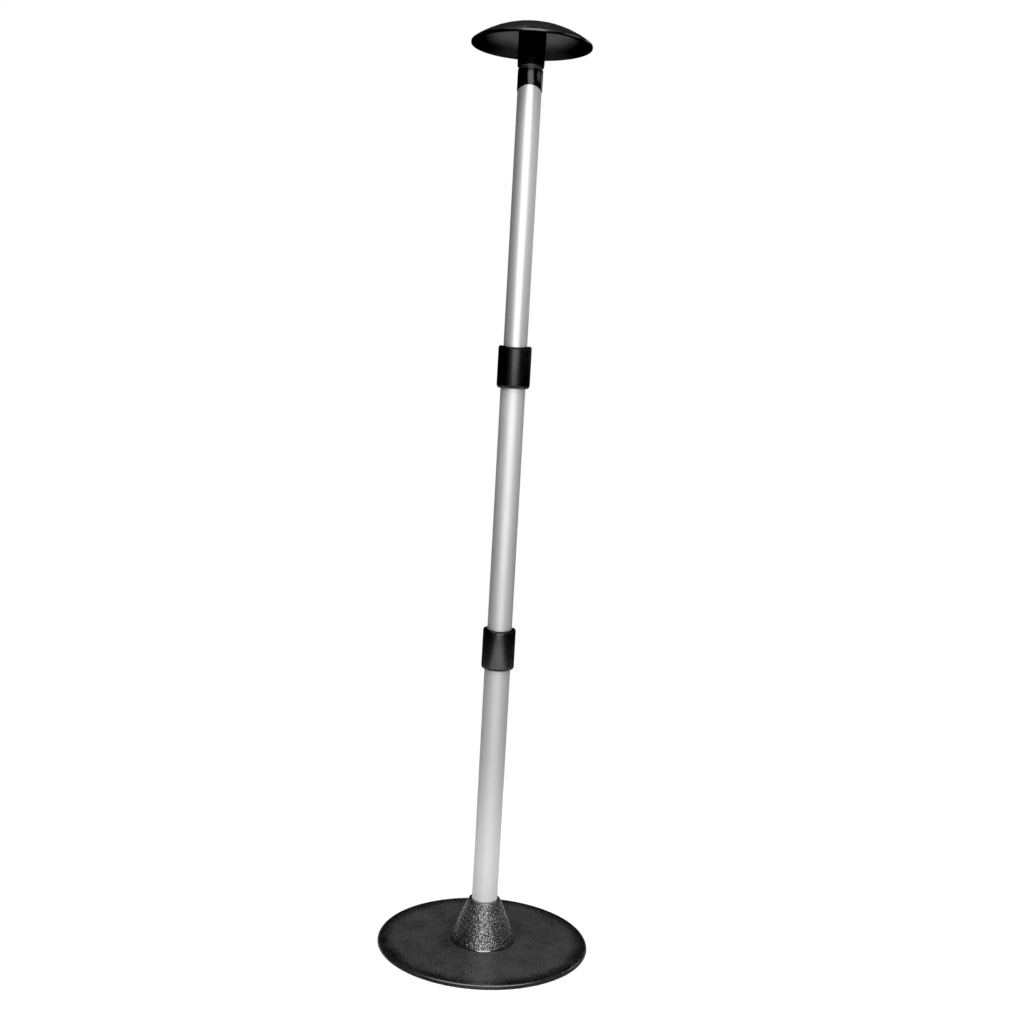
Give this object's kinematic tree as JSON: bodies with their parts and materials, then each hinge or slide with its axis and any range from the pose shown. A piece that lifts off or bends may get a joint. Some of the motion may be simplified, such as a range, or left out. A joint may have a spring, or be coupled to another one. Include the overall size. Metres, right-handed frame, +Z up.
{
  "type": "telescoping cover support pole",
  "caption": "Free-standing telescoping pole with a round base, twist-lock collars and a domed cap that holds up a cover.",
  "frame": {"origin": "middle of the base's underside, on the surface it stands on", "axes": "+Z up along the pole; -Y towards the viewer"},
  "size_m": [0.21, 0.21, 0.8967],
  "materials": {
    "disc_plastic": "fine-grained matt black moulded plastic",
    "socket_plastic": "coarse pebble-grained matt black moulded plastic",
    "pad_rubber": "matt black solid rubber sheet",
    "fastener_steel": "zinc-plated steel",
    "nylon": "natural nylon, slightly glossy",
    "tube_metal": "satin anodised tube with fine lines along its length",
    "collar_plastic": "smooth satin black plastic",
    "collet_plastic": "smooth black acetal",
    "grip_rubber": "matt black rubber",
    "ferrule_plastic": "glossy black plastic sleeve",
    "cap_plastic": "coarse-grained matt black plastic, smooth beneath"
  },
  "bodies": {
    "base": {"base_disc": "disc_plastic", "tube_socket": "socket_plastic", "base_pad": "pad_rubber", "base_screw": "fastener_steel", "base_washer": "fastener_steel", "socket_screws": "fastener_steel", "end_plug": "nylon", "end_plug_nut": "fastener_steel", "lower_tube": "tube_metal", "lower_collet": "collet_plastic", "lower_grip_ring": "grip_rubber", "lower_snap_ring": "fastener_steel"},
    "lower_lock": {"lower_collar": "collar_plastic"},
    "mid_bush": {"mid_guide_bush": "nylon"},
    "mid_section": {"mid_tube": "tube_metal", "upper_collet": "collet_plastic", "upper_grip_ring": "grip_rubber", "upper_snap_ring": "fastener_steel"},
    "upper_lock": {"upper_collar": "collar_plastic"},
    "upper_bush": {"upper_guide_bush": "nylon"},
    "upper_section": {"upper_tube": "tube_metal", "ferrule": "ferrule_plastic", "top_plug": "nylon", "cap_snap_ring": "fastener_steel"},
    "cap": {"dome_cap": "cap_plastic"}
  },
  "joints": [
    {"name": "lower_lock_turn", "type": "hinge", "parent": "base", "child": "lower_lock", "pos_m": [0, 0, 0.301], "axis": [0, 0, 1], "range_deg": [-60, 0]},
    {"name": "mid_slide", "type": "slide", "parent": "base", "child": "mid_bush", "axis": [0, 0, 1], "range_m": [-0.232, 0]},
    {"name": "mid_turn", "type": "hinge", "parent": "mid_bush", "child": "mid_section", "pos_m": [0, 0, 0.265], "axis": [0, 0, 1], "continuous": true},
    {"name": "upper_lock_turn", "type": "hinge", "parent": "mid_section", "child": "upper_lock", "pos_m": [0, 0, 0.576], "axis": [0, 0, 1], "range_deg": [-60, 0]},
    {"name": "upper_slide", "type": "slide", "parent": "mid_section", "child": "upper_bush", "axis": [0, 0, 1], "range_m": [-0.235, 0]},
    {"name": "upper_turn", "type": "hinge", "parent": "upper_bush", "child": "upper_section", "pos_m": [0, 0, 0.52], "axis": [0, 0, 1], "continuous": true},
    {"name": "cap_turn", "type": "hinge", "parent": "upper_section", "child": "cap", "pos_m": [0, 0, 0.864], "axis": [0, 0, 1], "continuous": true}
  ]
}
